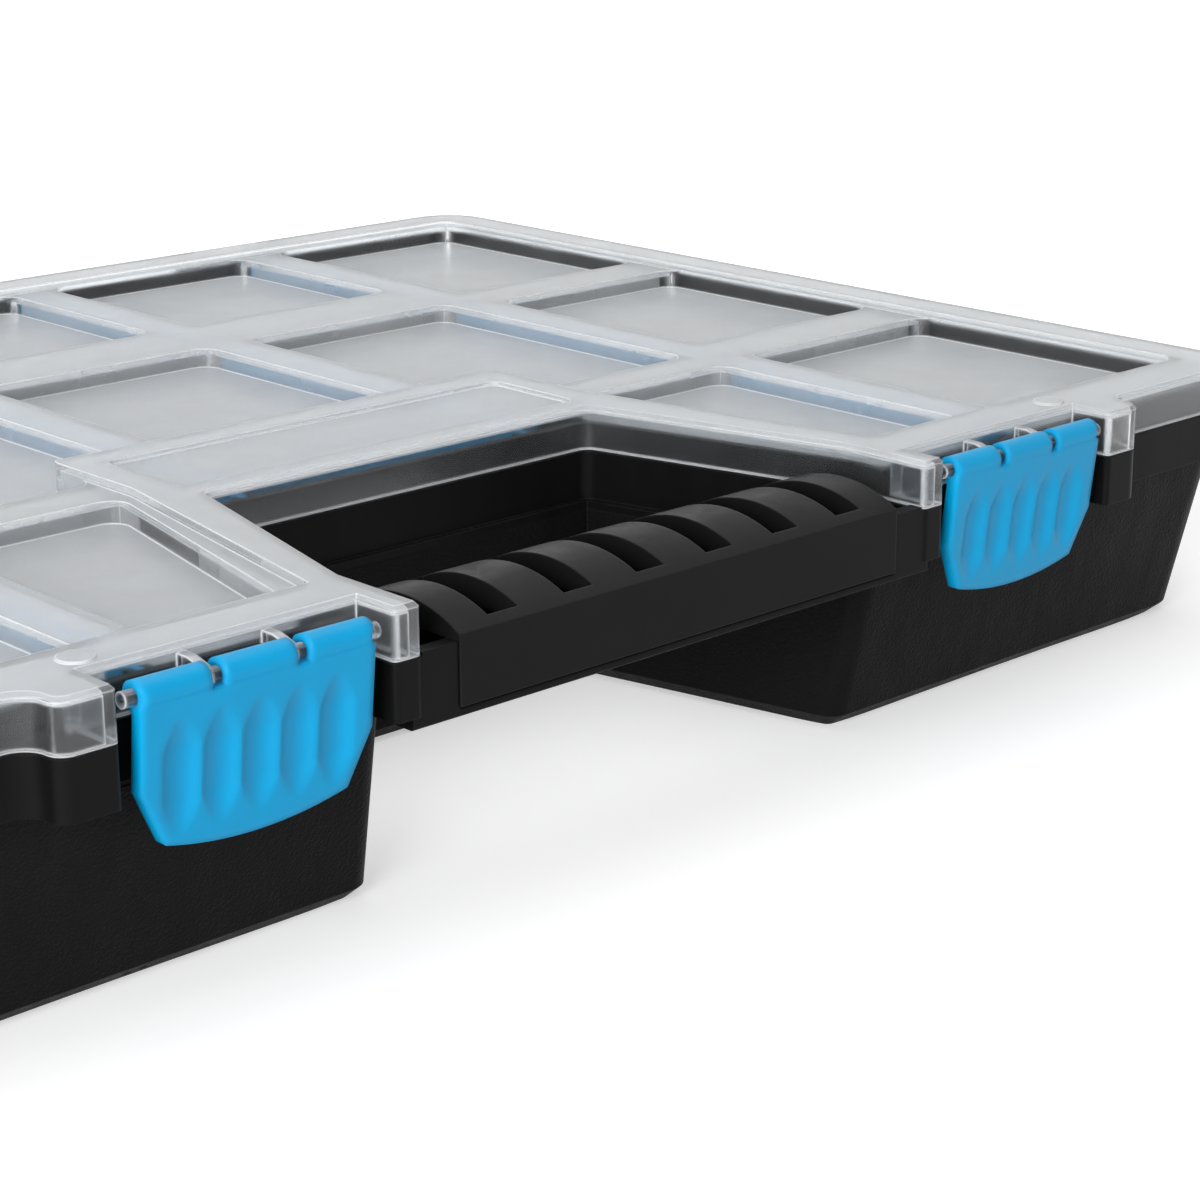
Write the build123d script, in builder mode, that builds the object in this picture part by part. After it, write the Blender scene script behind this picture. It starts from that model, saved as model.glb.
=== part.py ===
"""Flat compartment case with a clear lid, two snap latches and loose dividers.

Frame: +X to the right along the front, -Y to the front (handle side), +Z up.
The origin is the middle of the bounding box, on the surface that the case rests on.
Depths are counted backwards from the front face of the lid with back(distance).
"""

from build123d import *
import math
import os

os.makedirs("parts", exist_ok=True)

# ------------------------------------------------------------------ case
case_width = 400
case_depth = 297
case_height = 64
corner_radius = 14
parting_gap = 0.3

# ------------------------------------------------------------------ lid
lid_wall = 2.0
lid_plate = 1.8
skirt_height = 10.1
ridge_drop = 2.0
pocket_drop = 6.8
pocket_radius = 4.5
ridge_width = 12.5
side_rim = 12.0
rear_rim = 11.0
front_rim = 14.0

lid_edge_chamfer = 0.9
field_bevel = 0.7

# rows of lid pockets, counted back from the lid's front face
front_pocket_end = 91.5
middle_pocket_start = 103.5
centre_pocket_start = 121.0
middle_pocket_end = 195.0
rear_pocket_start = 218.5
side_front_end = 95.0
side_middle_start = 112.0
side_middle_end = 187.5
side_rear_start = 202.5

# ------------------------------------------------------------------ handle recess
recess_front_half = 68.0
recess_throat = 14.0
recess_back_half = 52.3
recess_depth = 77.6
recess_radius = 3.0
border_front_half = 78.0
border_back_half = 61.5
border_bend = 90.0
border_depth = 119.0
border_ridge = 2.0
strip_drop = 1.2
strip_start = 83.0
strip_depth = 28.0
strip_half_width = 54.0

# ------------------------------------------------------------------ bosses and latch bays
boss_reach = 8.4
inner_boss_width = 6.3
outer_boss_width = 11.8
boss_radius = 1.2
boss_tip_radius = 3.3
boss_root_radius = 5.0
bay_width = 56.9
bay_setback = 2.0
pad_inset = 2.3
pad_radius = 3.4
pad_height = 0.5

# ------------------------------------------------------------------ base tray
tray_floor = 2.4
tray_wall = 2.3
collar_height = 11.2
rim_gap = 0.8
rim_wall = 2.2
rim_clearance = 0.8
tub_inset = 2.2
tub_side_inset = 5.5
tub_rear_inset = 5.0
tub_front_inset = 13.0
tub_radius = 12.0
foot_chamfer = 3.0
lobe_front_half = 67.5
lobe_back_half = 51.0
lobe_depth = 76.1
lobe_radius = 5.0
wall_thickness = 2.0
front_wall_place = 98.5
rear_wall_place = 199.0

# ------------------------------------------------------------------ dividers
column_pitch = 77.5
dividers_per_row = 4
divider_thickness = 1.6
divider_side_gap = 0.2
divider_end_gap = 0.3
divider_bead_thickness = 2.6
divider_bead_height = 2.4
divider_top_gap = 0.4
guide_reach = 3.0
guide_thickness = 1.5

# ------------------------------------------------------------------ handle bar and grip
bar_depth = 29.0
bar_drop = 24.1
bar_skin = 2.0
bar_lip = 2.0
bar_lip_radius = 0.9
cheek_top_drop = 9.6
bar_edge_radius = 1.6
bar_side_gap = 0.4
grip_half_length = 59.3
grip_skin = 1.4
grip_step = 0.4
grip_shoulder_drop = 8.3
grip_peak_drop = 4.2
grip_peak_place = 7.5
grip_end_drop = 8.6
grip_rear_drop = 15.0
grip_gap = 0.1
fin_gap_count = 6
fin_gap_pitch = 18.75
fin_gap_width = 7.4
fin_ledge = 2.6

# ------------------------------------------------------------------ latches
latch_side_gap = 4.3
latch_foot_drop = 33.9
latch_plate = 3.0
latch_lean = 6.2
latch_axis_reach = 5.9
latch_axis_drop = 4.0
latch_roll_radius = 2.9
latch_side_height = 21.0
latch_corner_cut = 5.0
latch_bow = 2.5
latch_edge_chamfer = 1.0
latch_mouth = 2.4
latch_mouth_angle = 45
latch_rod_radius = 1.5
latch_rod_overhang = 2.3
pivot_clearance = 0.06
latch_slot_width = 2.8
latch_slot_offset = 8.8
latch_slot_drop = 5.4
latch_rib_thickness = 2.0
latch_rib_rise = 2.3
latch_rib_depth = 1.0
latch_rib_shoulder = 4.9
latch_rib_nose = 0.8
latch_rib_nose_rise = 1.2
flute_count = 5
flute_pitch = 8.1
flute_width = 7.9
flute_depth = 1.3
flute_length = 21.5
flute_taper = 6.0
flute_start = 4.5
hook_height = 3.0
hook_lead = 0.9
catch_half_width = 18.0
catch_reach = 3.0
catch_height = 2.6
hook_gap = 0.3

# ------------------------------------------------------------------ rear hinge
hinge_offset = 4.0
hinge_rise = 1.5
hinge_pin_radius = 1.7
hinge_clearance = 0.06
hinge_lug_radius = 3.5
hinge_knuckle_radius = 3.2
hinge_knuckle_width = 24.0
hinge_lug_width = 6.0
hinge_side_gap = 0.3
hinge_centre = 116.25
hinge_web_height = 10.0
hinge_arm_top = 5.5
hinge_arm_bottom = 1.2
hinge_pin_length = 5.5
lug_web_angle = 30
arm_top_angle = 45
arm_bottom_angle = 60

# ------------------------------------------------------------------ places that follow
hinge_reach = hinge_offset + hinge_lug_radius
latch_front_reach = latch_axis_reach + latch_roll_radius
lid_front_y = -(case_depth + hinge_reach - latch_front_reach) / 2
overrun = 5.0
touch = 0.01


def back(distance):
    """Y of a point that lies this far behind the front face of the lid."""
    return lid_front_y + distance


lid_bottom = case_height - skirt_height
ridge_top = case_height - ridge_drop
pocket_floor = case_height - pocket_drop
collar_top = lid_bottom - parting_gap
collar_bottom = collar_top - collar_height
rim_top = ridge_top - lid_plate - rim_clearance
rim_inset = lid_wall + rim_gap
cavity_inset = rim_inset + rim_wall
bay_inner = recess_front_half + inner_boss_width
bay_outer = bay_inner + bay_width
boss_outer = bay_outer + outer_boss_width
latch_centre = bay_inner + bay_width / 2
latch_width = bay_width - 2 * latch_side_gap
latch_axis_y = back(-latch_axis_reach)
latch_axis_z = case_height - latch_axis_drop
hinge_y = back(case_depth + hinge_offset)
hinge_z = lid_bottom + hinge_rise
bar_bottom = case_height - bar_drop
bar_front = grip_step - boss_reach
bar_wall_front = grip_skin + grip_gap - boss_reach
bar_wall_rear = bar_wall_front + bar_depth
recess_slope = (recess_front_half - recess_back_half) / (recess_depth - recess_throat)
channel_end = recess_front_half - recess_slope * (bar_wall_rear - recess_throat) - bar_side_gap
cheek_end = recess_front_half - bar_side_gap
cheek_top = case_height - cheek_top_drop
bar_root = recess_front_half + lid_wall
shoulder_z = case_height - grip_shoulder_drop - grip_skin
divider_top = rim_top - divider_top_gap
catch_front = bay_setback - catch_reach
hook_bottom = collar_bottom - hook_gap - hook_height
divider_columns = [
    (index - (dividers_per_row - 1) / 2) * column_pitch
    for index in range(dividers_per_row)
]


# ------------------------------------------------------------------ plan outlines
def level(height, outline, *holes):
    """A plan outline, less some holes, on a plane at a height."""
    with BuildSketch(Plane.XY.offset(height), mode=Mode.PRIVATE) as plan:
        add(outline)
        for hole in holes:
            add(hole, mode=Mode.SUBTRACT)
    return plan.sketch


def grown(outline, margin):
    """A plan outline moved outwards, or inwards when the margin is negative."""
    return offset(outline, amount=margin, kind=Kind.ARC, mode=Mode.PRIVATE)


def grown_sharp(outline, margin):
    """A plan outline moved outwards or inwards, with sharp corners left sharp."""
    return offset(outline, amount=margin, kind=Kind.INTERSECTION, mode=Mode.PRIVATE)


def corners_at(plan, spots):
    """Vertices of an outline being drawn that lie on the given spots."""
    return [
        vertex
        for vertex in plan.vertices()
        if any(math.hypot(vertex.X - x, vertex.Y - y) < touch for x, y in spots)
    ]


def inset_box(side_inset, front_inset, rear_inset, radius):
    """Rounded rectangle inside the footprint of the case."""
    with BuildSketch(mode=Mode.PRIVATE) as plan:
        with Locations((0, back((front_inset + case_depth - rear_inset) / 2))):
            RectangleRounded(
                case_width - 2 * side_inset,
                case_depth - front_inset - rear_inset,
                radius,
            )
    return plan.sketch


with BuildSketch() as recess_plan:
    with BuildLine():
        Polyline(
            (-recess_front_half, back(-boss_reach - overrun)),
            (-recess_front_half, back(recess_throat)),
            (-recess_back_half, back(recess_depth)),
            (recess_back_half, back(recess_depth)),
            (recess_front_half, back(recess_throat)),
            (recess_front_half, back(-boss_reach - overrun)),
            close=True,
        )
    make_face()
    fillet(recess_plan.vertices().group_by(Axis.Y)[-1], recess_radius)

with BuildSketch() as lobe_plan:
    front_half = lobe_front_half + overrun * (lobe_front_half - lobe_back_half) / lobe_depth
    with BuildLine():
        Polyline(
            (-front_half, back(-overrun)),
            (-lobe_back_half, back(lobe_depth)),
            (lobe_back_half, back(lobe_depth)),
            (front_half, back(-overrun)),
            close=True,
        )
    make_face()

with BuildSketch() as lid_plan:
    add(inset_box(0, 0, 0, corner_radius))
    for side in (-1, 1):
        with Locations((side * (recess_front_half + boss_outer) / 2, back(0))):
            Rectangle(boss_outer - recess_front_half, 2 * boss_reach)
        with Locations((side * latch_centre, back((bay_setback - boss_reach - overrun) / 2))):
            Rectangle(bay_width, bay_setback + boss_reach + overrun, mode=Mode.SUBTRACT)
    add(recess_plan.sketch, mode=Mode.SUBTRACT)
    boss_spots = [
        (side * along, back(-boss_reach))
        for side in (-1, 1)
        for along in (recess_front_half, bay_inner, bay_outer)
    ]
    fillet(corners_at(lid_plan, boss_spots), boss_radius)
    tip_spots = [(side * boss_outer, back(-boss_reach)) for side in (-1, 1)]
    fillet(corners_at(lid_plan, tip_spots), boss_tip_radius)
    root_spots = [(side * boss_outer, back(0)) for side in (-1, 1)]
    fillet(corners_at(lid_plan, root_spots), boss_root_radius)

recess_outline = recess_plan.sketch
lid_outline = lid_plan.sketch
lobe_outline = lobe_plan.sketch
lobe_inner_outline = grown(lobe_outline, tray_wall)
rim_recess_outer = grown(recess_outline, rim_inset)
rim_recess_inner = grown(recess_outline, cavity_inset)

tub_top_plan = inset_box(tub_inset, bay_setback + tub_inset, tub_inset, tub_radius)
tub_foot_plan = inset_box(tub_side_inset, tub_front_inset, tub_rear_inset, tub_radius)
rim_outer_plan = inset_box(rim_inset, bay_setback + rim_inset, rim_inset, tub_radius)
rim_inner_plan = inset_box(
    cavity_inset,
    bay_setback + cavity_inset,
    cavity_inset,
    tub_radius - rim_wall,
)
cavity_foot_plan = inset_box(
    tub_side_inset + tray_wall,
    tub_front_inset + tray_wall,
    tub_rear_inset + tray_wall,
    tub_radius - tray_wall,
)


# ------------------------------------------------------------------ compartment rows
def between(low, high, height):
    """Value at a height, for a wall that leans from the tray floor to the collar."""
    share = min(1, (height - tray_floor) / (collar_bottom - tray_floor))
    return low + share * (high - low)


def front_inner_face(height):
    """Distance back to the inner face of the tray's front wall."""
    return between(tub_front_inset + tray_wall, bay_setback + cavity_inset, height)


def rear_inner_face(height):
    """Distance back to the inner face of the tray's rear wall."""
    low = case_depth - tub_rear_inset - tray_wall
    return between(low, case_depth - cavity_inset, height)


def upright(place):
    """An upright face at one distance back, whatever the height."""
    return lambda height: place


recess_wall_face = recess_depth + cavity_inset
stub_face = recess_back_half + cavity_inset
front_wall_faces = [front_wall_place + side * wall_thickness / 2 for side in (-1, 1)]
rear_wall_faces = [rear_wall_place + side * wall_thickness / 2 for side in (-1, 1)]
row_ends = {
    "front": (front_inner_face, upright(front_wall_faces[0])),
    "middle": (upright(front_wall_faces[1]), upright(rear_wall_faces[0])),
    "centre": (upright(recess_wall_face), upright(rear_wall_faces[0])),
    "rear": (upright(rear_wall_faces[1]), rear_inner_face),
}


def row_of(row, column):
    """The kind of row that a divider stands in."""
    return "centre" if row == "middle" and abs(column) < column_pitch else row


divider_places = [
    (row, index, column)
    for row in ("front", "middle", "rear")
    for index, column in enumerate(divider_columns)
    if row != "front" or abs(column) > column_pitch
]


# ------------------------------------------------------------------ base tray
with BuildPart() as compartment_space:
    loft(
        sections=[level(tray_floor, cavity_foot_plan), level(collar_bottom, rim_inner_plan)],
        ruled=True,
    )
    extrude(level(0, lobe_inner_outline), amount=collar_bottom, mode=Mode.SUBTRACT)
    extrude(
        level(collar_bottom, rim_inner_plan, rim_recess_inner),
        amount=case_height - collar_bottom,
    )


def guide_profile(x, face, direction):
    """Side view, at one x, of a guide rib that stands on a wall face and points into its row."""
    low = back(face(tray_floor))
    high = back(face(collar_bottom))
    root = direction * wall_thickness / 2
    tip = direction * guide_reach
    with BuildSketch(Plane.YZ.offset(x), mode=Mode.PRIVATE) as profile:
        with BuildLine():
            Polyline(
                (low - root, tray_floor / 2),
                (low + tip, tray_floor / 2),
                (high + tip, collar_bottom),
                (high + tip, divider_top),
                (high - root, divider_top),
                (high - root, collar_bottom),
                close=True,
            )
        make_face()
    return profile.sketch


def on_hinge(radius, angle):
    """Depth and height of a point on a circle round the hinge axis, at an angle from the rear."""
    turn = math.radians(angle)
    return hinge_y + radius * math.cos(turn), hinge_z + radius * math.sin(turn)


def lug_profile(x):
    """Side view, at one x, of a hinge lug with its web on the collar and its pin hole."""
    with BuildSketch(Plane.YZ.offset(x), mode=Mode.PRIVATE) as profile:
        with Locations((hinge_y, hinge_z)):
            Circle(hinge_lug_radius)
        with BuildLine():
            Polyline(
                (hinge_y - hinge_offset - lid_wall, collar_top - hinge_web_height),
                (hinge_y - hinge_offset - lid_wall, collar_top),
                (hinge_y - hinge_offset, collar_top),
                (hinge_y, hinge_z),
                on_hinge(hinge_lug_radius, -lug_web_angle),
                (hinge_y - hinge_offset, collar_top - hinge_web_height),
                close=True,
            )
        make_face()
        with Locations((hinge_y, hinge_z)):
            Circle(hinge_pin_radius + hinge_clearance, mode=Mode.SUBTRACT)
    return profile.sketch


def bar_section(x, top):
    """Side view, at one x, of the handle bar: a channel open at its top, with a lip in front."""
    with BuildSketch(Plane.YZ.offset(x), mode=Mode.PRIVATE) as section:
        with BuildLine():
            Polyline(
                (back(bar_front), bar_bottom),
                (back(bar_front), bar_bottom + bar_lip),
                (back(bar_wall_front), bar_bottom + bar_lip),
                (back(bar_wall_front), top),
                (back(bar_wall_front + bar_skin), top),
                (back(bar_wall_front + bar_skin), bar_bottom + bar_skin),
                (back(bar_wall_rear - bar_skin), bar_bottom + bar_skin),
                (back(bar_wall_rear - bar_skin), top),
                (back(bar_wall_rear), top),
                (back(bar_wall_rear), bar_bottom),
                close=True,
            )
        make_face()
        fillet(section.vertices().group_by(Axis.X)[0], bar_lip_radius)
        fillet(section.vertices().group_by(Axis.Y)[0].sort_by(Axis.X)[-1], bar_edge_radius)
    return section.sketch


def bar_cheek(x, top):
    """Side view of the thicker front at an end of the handle bar, at one x."""
    with BuildSketch(Plane.YZ.offset(x), mode=Mode.PRIVATE) as section:
        with BuildLine():
            Polyline(
                (back(bar_front), bar_bottom),
                (back(bar_front), top),
                (back(bar_wall_front + bar_skin), top),
                (back(bar_wall_front + bar_skin), bar_bottom),
                close=True,
            )
        make_face()
        fillet(section.vertices().group_by(Axis.Y)[0].sort_by(Axis.X)[0], bar_lip_radius)
    return section.sketch


def tub_section(height, outline):
    """Plan of the tub at one height, two lobes with rounded corners beside the handle."""
    with BuildSketch(Plane.XY.offset(height), mode=Mode.PRIVATE) as plan:
        add(outline)
        add(lobe_outline, mode=Mode.SUBTRACT)
        beside_recess = plan.vertices().filter_by_position(Axis.X, -bay_inner, bay_inner)
        fillet(beside_recess.group_by(Axis.Y)[0], lobe_radius)
    return plan.sketch


def wall_across(place, near, side):
    """A fixed wall across the tray, from one x out to the leaning side wall."""
    low_far = side * (case_width / 2 - tub_side_inset - tray_wall / 2)
    high_far = side * (case_width / 2 - cavity_inset + rim_wall / 2)
    front = Plane.XZ.offset(-back(place + wall_thickness / 2))
    with BuildPart(mode=Mode.PRIVATE) as wall:
        with BuildSketch(front):
            with BuildLine():
                Polyline(
                    (near, tray_floor / 2),
                    (low_far, tray_floor / 2),
                    (high_far, collar_bottom),
                    (high_far, divider_top),
                    (near, divider_top),
                    close=True,
                )
            make_face()
        extrude(amount=wall_thickness)
    return wall.part


with BuildPart() as base_tray:
    # tub, drafted towards its foot, with the handle recess between two lobes
    loft(
        sections=[tub_section(0, tub_foot_plan), tub_section(collar_bottom, tub_top_plan)],
        ruled=True,
    )
    chamfer(base_tray.faces().sort_by(Axis.Z)[0].edges(), foot_chamfer)
    # collar that carries the lid's outline down, with hollow outer bosses
    extrude(level(collar_bottom, lid_outline), amount=collar_height)
    for side in (-1, 1):
        with BuildSketch(Plane.XY.offset(collar_bottom)):
            with Locations(
                (
                    side * (bay_outer + outer_boss_width / 2),
                    back((lid_wall - boss_reach) / 2),
                )
            ):
                Rectangle(outer_boss_width - 2 * lid_wall, boss_reach - lid_wall)
        extrude(amount=collar_height - lid_wall, mode=Mode.SUBTRACT)
    # rim that stands up inside the lid's skirt
    extrude(
        level(collar_bottom, rim_outer_plan, rim_recess_outer),
        amount=rim_top - collar_bottom,
    )
    # handle bar, an open channel that runs on into both lobes below the lid
    for half_length, top in ((channel_end, shoulder_z), (bar_root, collar_top)):
        extrude(bar_section(-half_length, top), amount=2 * half_length)
    for half_length, top in ((cheek_end, cheek_top), (bar_root, collar_top)):
        for side in (-1, 1):
            extrude(
                bar_cheek(side * grip_half_length, top),
                amount=half_length - grip_half_length,
                dir=(side, 0, 0),
            )
    # hollow inside, then the walls that stand in it
    add(compartment_space.part, mode=Mode.SUBTRACT)
    for side in (-1, 1):
        add(wall_across(front_wall_place, side * (stub_face - wall_thickness), side))
        add(wall_across(rear_wall_place, 0, side))
        with BuildSketch(Plane.XY.offset(tray_floor / 2)):
            with Locations(
                (
                    side * (stub_face - wall_thickness / 2),
                    back((recess_wall_face - rim_wall + front_wall_faces[1]) / 2),
                )
            ):
                Rectangle(wall_thickness, front_wall_faces[1] - recess_wall_face + rim_wall)
        extrude(amount=divider_top - tray_floor / 2)
    for row, index, column in divider_places:
        front_face, rear_face = row_ends[row_of(row, column)]
        for side in (-1, 1):
            near = divider_thickness / 2 + divider_side_gap
            for face, direction in ((front_face, 1), (rear_face, -1)):
                extrude(
                    guide_profile(column + side * near, face, direction),
                    amount=guide_thickness,
                    dir=(side, 0, 0),
                )
    # catch beads for the latches
    for side in (-1, 1):
        with BuildSketch(Plane.XY.offset(collar_bottom)):
            with Locations((side * latch_centre, back(bay_setback - catch_reach / 2))):
                Rectangle(2 * catch_half_width, catch_reach)
        extrude(amount=catch_height)
    # hinge lugs on the rear of the collar
    for side in (-1, 1):
        for hand in (-1, 1):
            near = side * hinge_centre + hand * (hinge_knuckle_width / 2 + hinge_side_gap)
            extrude(lug_profile(near), amount=hinge_lug_width, dir=(hand, 0, 0))

base_tray.part.label = "base_tray"
export_step(base_tray.part, "parts/base_tray.step")


# ------------------------------------------------------------------ lid
centre_half = (column_pitch - ridge_width) / 2
inner_near = centre_half + ridge_width
inner_far = inner_near + column_pitch - ridge_width
outer_near = inner_far + ridge_width
outer_far = case_width / 2 - side_rim
field_rear = case_depth - rear_rim


def pocket_plan(*corners):
    """Outline of a lid pocket."""
    with BuildSketch(mode=Mode.PRIVATE) as plan:
        with BuildLine():
            Polyline(*[(x, back(y)) for x, y in corners], close=True)
        make_face()
    return plan.sketch


def pocket_box(left, right, near, far):
    """Outline of a plain rectangular lid pocket."""
    return pocket_plan((left, near), (right, near), (right, far), (left, far))


def rounded(outline, radius):
    """A plan outline with all its corners rounded."""
    with BuildSketch(mode=Mode.PRIVATE) as plan:
        add(outline)
        fillet(plan.vertices(), radius)
    return plan.sketch


pocket_outlines = [
    pocket_box(-centre_half, centre_half, centre_pocket_start, middle_pocket_end),
    pocket_box(-centre_half, centre_half, rear_pocket_start, field_rear),
]
for side in (-1, 1):
    pocket_outlines += [
        pocket_box(side * outer_near, side * outer_far, front_rim, side_front_end),
        pocket_box(side * outer_near, side * outer_far, side_middle_start, side_middle_end),
        pocket_box(side * outer_near, side * outer_far, side_rear_start, field_rear),
        pocket_box(side * inner_near, side * inner_far, rear_pocket_start, field_rear),
        pocket_plan(
            (side * (border_front_half + border_ridge), front_rim + border_ridge),
            (side * inner_far, front_rim + border_ridge),
            (side * inner_far, front_pocket_end),
            (side * (border_back_half + border_ridge), front_pocket_end),
        ),
        pocket_plan(
            (side * border_back_half, middle_pocket_start),
            (side * inner_far, middle_pocket_start),
            (side * inner_far, middle_pocket_end),
            (side * inner_near, middle_pocket_end),
            (side * inner_near, centre_pocket_start),
            (side * border_back_half, centre_pocket_start),
        ),
    ]

with BuildSketch() as field_plan:
    with Locations((0, back((front_rim + field_rear) / 2))):
        Rectangle(2 * outer_far, field_rear - front_rim)
    with BuildLine():
        Polyline(
            (-border_front_half, back(0)),
            (-border_back_half, back(border_bend)),
            (-border_back_half, back(border_depth)),
            (border_back_half, back(border_depth)),
            (border_back_half, back(border_bend)),
            (border_front_half, back(0)),
            close=True,
        )
    make_face(mode=Mode.SUBTRACT)

field_corners = [
    (side * outer_far, back(place)) for side in (-1, 1) for place in (front_rim, field_rear)
]
with BuildSketch() as rounded_field_plan:
    add(field_plan.sketch)
    fillet(corners_at(rounded_field_plan, field_corners), pocket_radius)

with BuildSketch() as strip_plan:
    with Locations((0, back(strip_start + strip_depth / 2))):
        Rectangle(2 * strip_half_width, strip_depth)

with BuildPart() as lid:
    # top plate with its skirt
    extrude(level(lid_bottom, lid_outline), amount=skirt_height)
    chamfer(lid.faces().sort_by(Axis.Z)[-1].edges(), lid_edge_chamfer)
    extrude(
        level(lid_bottom, grown_sharp(lid_outline, -lid_wall)),
        amount=skirt_height - lid_plate,
        mode=Mode.SUBTRACT,
    )
    # sunken field inside the raised rim, and the shallow strip behind the handle
    field_shell = grown_sharp(field_plan.sketch, lid_plate)
    extrude(level(ridge_top - lid_plate, field_shell), amount=ridge_drop)
    extrude(level(ridge_top, rounded_field_plan.sketch), amount=overrun, mode=Mode.SUBTRACT)
    strip_top = case_height - strip_drop
    strip_shell = grown_sharp(strip_plan.sketch, lid_plate)
    extrude(level(strip_top - lid_plate, strip_shell), amount=strip_drop)
    strip_hollow = rounded(strip_plan.sketch, recess_radius)
    extrude(level(strip_top, strip_hollow), amount=overrun, mode=Mode.SUBTRACT)
    # pockets that reach down over the compartments
    for outline in pocket_outlines:
        shell = grown_sharp(outline, lid_plate)
        extrude(level(pocket_floor - lid_plate, shell), amount=pocket_drop - ridge_drop)
    for outline in pocket_outlines:
        hollow = rounded(outline, pocket_radius)
        extrude(level(pocket_floor, hollow), amount=pocket_drop, mode=Mode.SUBTRACT)
    # bevel along the inner edge of the raised rim
    loft(
        sections=[
            level(case_height - field_bevel, rounded_field_plan.sketch),
            level(case_height, grown(rounded_field_plan.sketch, field_bevel)),
        ],
        ruled=True,
        mode=Mode.SUBTRACT,
    )
    # round pads on the front rim
    for side in (-1, 1):
        with BuildSketch(Plane.XY.offset(case_height)):
            with Locations((side * (bay_outer - pad_inset), back(front_rim / 2))):
                Circle(pad_radius)
        extrude(amount=pad_height)
    # rods that carry the latches, each held by two ribs on the skirt
    for side in (-1, 1):
        rod_length = latch_width + 2 * latch_rod_overhang
        with BuildSketch(Plane.YZ.offset(side * latch_centre - rod_length / 2)):
            with Locations((latch_axis_y, latch_axis_z)):
                Circle(latch_rod_radius)
        extrude(amount=rod_length)
        for hand in (-1, 1):
            rib_start = side * latch_centre + hand * latch_slot_offset - latch_rib_thickness / 2
            rib_root = back(bay_setback + lid_wall / 2)
            with BuildSketch(Plane.YZ.offset(rib_start)):
                with BuildLine():
                    Polyline(
                        (rib_root, latch_axis_z - latch_rib_depth),
                        (rib_root, latch_axis_z + latch_rib_rise),
                        (latch_axis_y + latch_rib_shoulder, latch_axis_z + latch_rib_rise),
                        (latch_axis_y + latch_rib_nose, latch_axis_z + latch_rib_nose_rise),
                        (latch_axis_y + latch_rib_nose, latch_axis_z - latch_rib_depth),
                        close=True,
                    )
                make_face()
            extrude(amount=latch_rib_thickness)
    # hinge knuckles with their pins
    for side in (-1, 1):
        knuckle_start = side * hinge_centre - hinge_knuckle_width / 2
        pin_start = knuckle_start - hinge_side_gap - hinge_pin_length
        with BuildSketch(Plane.YZ.offset(knuckle_start)):
            with Locations((hinge_y, hinge_z)):
                Circle(hinge_knuckle_radius)
            with BuildLine():
                Polyline(
                    (hinge_y - hinge_offset - lid_wall / 2, hinge_z - hinge_arm_bottom),
                    (hinge_y - hinge_offset - lid_wall / 2, hinge_z + hinge_arm_top),
                    (hinge_y - hinge_offset, hinge_z + hinge_arm_top),
                    on_hinge(hinge_knuckle_radius, arm_top_angle),
                    (hinge_y, hinge_z),
                    on_hinge(hinge_knuckle_radius, arm_bottom_angle - 180),
                    (hinge_y - hinge_offset, hinge_z - hinge_arm_bottom),
                    close=True,
                )
            make_face()
        extrude(amount=hinge_knuckle_width)
        with BuildSketch(Plane.YZ.offset(pin_start)):
            with Locations((hinge_y, hinge_z)):
                Circle(hinge_pin_radius)
        extrude(amount=hinge_knuckle_width + 2 * (hinge_side_gap + hinge_pin_length))

lid.part.label = "lid"
export_step(lid.part, "parts/lid.step")


# ------------------------------------------------------------------ handle grip
grip_rear = bar_wall_rear + grip_gap + grip_skin
grip_foot = bar_bottom + bar_lip + grip_gap

with BuildPart() as handle_grip:
    with BuildSketch(Plane.YZ.offset(-grip_half_length)):
        with BuildLine():
            Line(
                (back(-boss_reach), grip_foot),
                (back(-boss_reach), case_height - grip_shoulder_drop),
            )
            ThreePointArc(
                (back(-boss_reach), case_height - grip_shoulder_drop),
                (back(grip_peak_place), case_height - grip_peak_drop),
                (back(grip_rear), case_height - grip_end_drop),
            )
            Polyline(
                (back(grip_rear), case_height - grip_end_drop),
                (back(grip_rear), case_height - grip_rear_drop),
                (back(bar_wall_rear + grip_gap), case_height - grip_rear_drop),
                (back(bar_wall_rear + grip_gap), shoulder_z),
                (back(bar_wall_front - grip_gap), shoulder_z),
                (back(bar_wall_front - grip_gap), grip_foot),
                (back(-boss_reach), grip_foot),
            )
        make_face()
    extrude(amount=2 * grip_half_length)
    # gaps that leave a row of fins between the front and rear ledges
    with BuildSketch(Plane.XY.offset(shoulder_z)):
        with Locations((0, back((grip_rear - boss_reach) / 2))):
            with GridLocations(fin_gap_pitch, 0, fin_gap_count, 1):
                Rectangle(fin_gap_width, grip_rear + boss_reach - 2 * fin_ledge)
    extrude(amount=grip_shoulder_drop + grip_skin, mode=Mode.SUBTRACT)

handle_grip.part.label = "handle_grip"
export_step(handle_grip.part, "parts/handle_grip.step")


# ------------------------------------------------------------------ latches
latch_foot = case_height - latch_foot_drop
latch_top = latch_axis_z + latch_roll_radius
lean = math.radians(latch_lean)
latch_length = (latch_axis_z - latch_foot) / math.cos(lean) + overrun
hook_root_y = latch_axis_y + (latch_axis_z - hook_bottom) * math.tan(lean) - latch_plate / 2
hook_tip_y = back(catch_front - hook_gap)
flute_radius = (flute_width**2 / 4 + flute_depth**2) / (2 * flute_depth)


def leaning_plane(x):
    """Plane across a latch at one x: first axis down its front face, second axis inwards."""
    return Plane(
        origin=(x, latch_axis_y, latch_axis_z),
        x_dir=(0, math.sin(lean), -math.cos(lean)),
        z_dir=(1, 0, 0),
    )


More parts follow.
